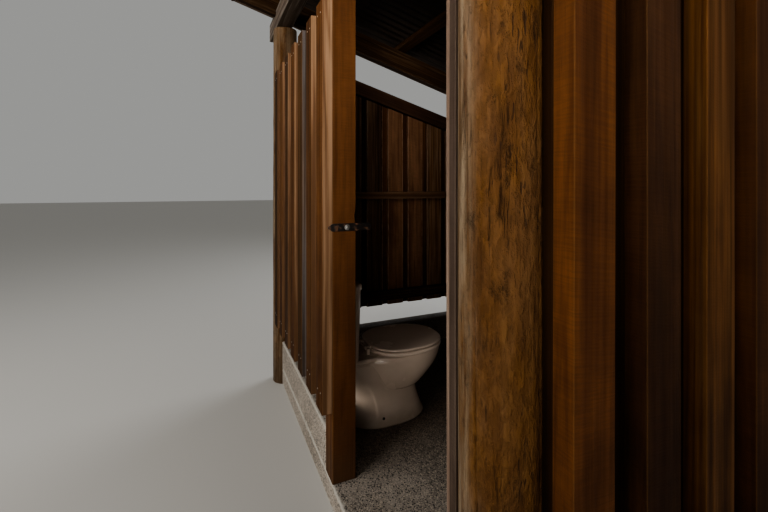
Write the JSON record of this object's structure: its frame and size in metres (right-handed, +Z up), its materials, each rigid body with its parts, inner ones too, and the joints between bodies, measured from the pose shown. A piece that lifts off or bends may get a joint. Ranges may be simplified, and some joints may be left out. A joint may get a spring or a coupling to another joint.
{
  "type": "timber outhouse",
  "caption": "Small timber outhouse with round corner poles, board-and-batten walls, an inward-opening door, a single sloping roof and a toilet on a concrete floor.",
  "frame": {"origin": "middle of the roof's plan and of the pole grid, at ground level", "axes": "+X down the slope of the roof, away from the doorway side; +Y along the doorway side from the door's hinges towards the toilet; +Z up"},
  "size_m": [2.44, 2.8, 2.7513],
  "materials": {
    "log": "peeled and weathered",
    "post": "stained, rough sawn",
    "cladding": "stained, rough sawn",
    "framing": "rough sawn",
    "roofing": "dull, weathered",
    "concrete": "exposed stones",
    "china": "glazed",
    "seat_plastic": "glossy",
    "button": "polished",
    "ironwork": "dull, dark"
  },
  "bodies": {
    "root": {"floor_slab": "concrete", "kerb_far": "concrete", "kerb_near": "concrete", "kerb_door_side": "concrete", "kerb_low_side": "concrete", "pole_near_door_side": "log", "pole_far_door_side": "log", "pole_near_low_side": "log", "pole_far_low_side": "log", "door_post": "post", "beam_high": "framing", "beam_low": "framing", "rafters": "framing", "purlins": "framing", "roof_sheet": "roofing", "fascia_high": "framing", "fascia_low": "framing", "barge_near": "framing", "barge_far": "framing", "battens_door_side": "cladding", "battens_far": "cladding", "battens_near": "cladding", "battens_low_side": "cladding", "boards_door_side": "cladding", "boards_far": "cladding", "boards_near": "cladding", "boards_low_side": "cladding", "rails_door_side": "framing", "rails_far": "framing", "rails_near": "framing", "rails_low_side": "framing", "shelf": "framing", "shelf_cleats": "framing", "toilet_pan": "china", "cistern": "china", "cistern_lid": "china", "flush_button": "button", "seat_hinge": "seat_plastic", "toilet_seat": "seat_plastic", "hinge_pins": "ironwork", "latch_bar": "ironwork"},
    "door": {"door_boards": "cladding", "door_frame": "framing", "door_straps": "ironwork"},
    "lid": {"toilet_lid": "seat_plastic"}
  },
  "joints": [
    {"name": "door_hinge", "type": "hinge", "parent": "root", "child": "door", "pos_m": [-0.916, -1.0027, 1.085], "axis": [0, 0, 1], "range_deg": [0, 90]},
    {"name": "lid_hinge", "type": "hinge", "parent": "root", "child": "lid", "pos_m": [-0.6167, 0.28, 0.4808], "axis": [0, -1, 0], "range_deg": [0, 93]}
  ]
}
